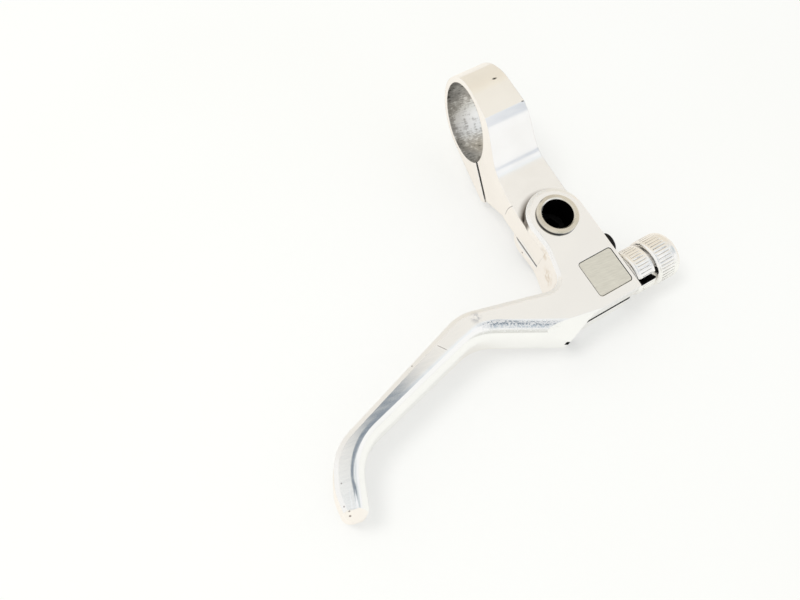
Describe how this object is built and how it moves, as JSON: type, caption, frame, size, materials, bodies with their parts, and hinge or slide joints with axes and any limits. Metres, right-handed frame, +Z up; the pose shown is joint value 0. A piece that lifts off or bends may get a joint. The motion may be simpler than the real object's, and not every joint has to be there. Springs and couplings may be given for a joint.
{
  "type": "bicycle brake lever",
  "caption": "Short flat-bar bicycle brake lever in bare light alloy: split bar clamp bracket, forked blade on a hollow pivot, barrel adjuster with lock ring, and a reach screw.",
  "frame": {"origin": "centre of the handlebar bore, half way along the clamp", "axes": "+X inboard along the handlebar, -Y forward, +Z up along the lever pivot"},
  "size_m": [0.1035, 0.1016, 0.0292],
  "materials": {
    "bracket_alloy": "bright machined, lightly scratched",
    "blade_alloy": "bright polished, nicked at the tip",
    "adjuster_alloy": "straight knurled",
    "pivot_steel": "turned",
    "screw_black": "black oxide",
    "bolt_steel": "zinc plated",
    "bushing_bronze": "plain bearing bronze"
  },
  "bodies": {
    "bracket_body": {"bracket": "bracket_alloy", "clamp_bolt": "bolt_steel", "clamp_washer": "bolt_steel", "upper_pivot_bushing": "bushing_bronze", "lower_pivot_bushing": "bushing_bronze"},
    "lever_body": {"lever_blade": "blade_alloy", "pivot_sleeve": "pivot_steel", "pivot_screw": "screw_black"},
    "barrel_body": {"barrel_adjuster": "adjuster_alloy"},
    "lock_ring_body": {"lock_ring": "adjuster_alloy"},
    "reach_screw_body": {"reach_screw": "screw_black"}
  },
  "joints": [
    {"name": "lever_pivot", "type": "hinge", "parent": "bracket_body", "child": "lever_body", "pos_m": [0.0023, -0.0368, 0], "axis": [0, 0, -1], "range_deg": [0, 36]},
    {"name": "barrel_travel", "type": "slide", "parent": "bracket_body", "child": "barrel_body", "axis": [0.9895, 0.1444, 0], "range_m": [-0.0003, 0.004]},
    {"name": "lock_ring_turn", "type": "hinge", "parent": "bracket_body", "child": "lock_ring_body", "pos_m": [0.01738, -0.05532, 0], "axis": [0.9895, 0.1444, 0], "continuous": true},
    {"name": "reach_travel", "type": "slide", "parent": "bracket_body", "child": "reach_screw_body", "axis": [-0.9895, -0.1444, 0], "range_m": [-0.002, 0.0015]}
  ]
}
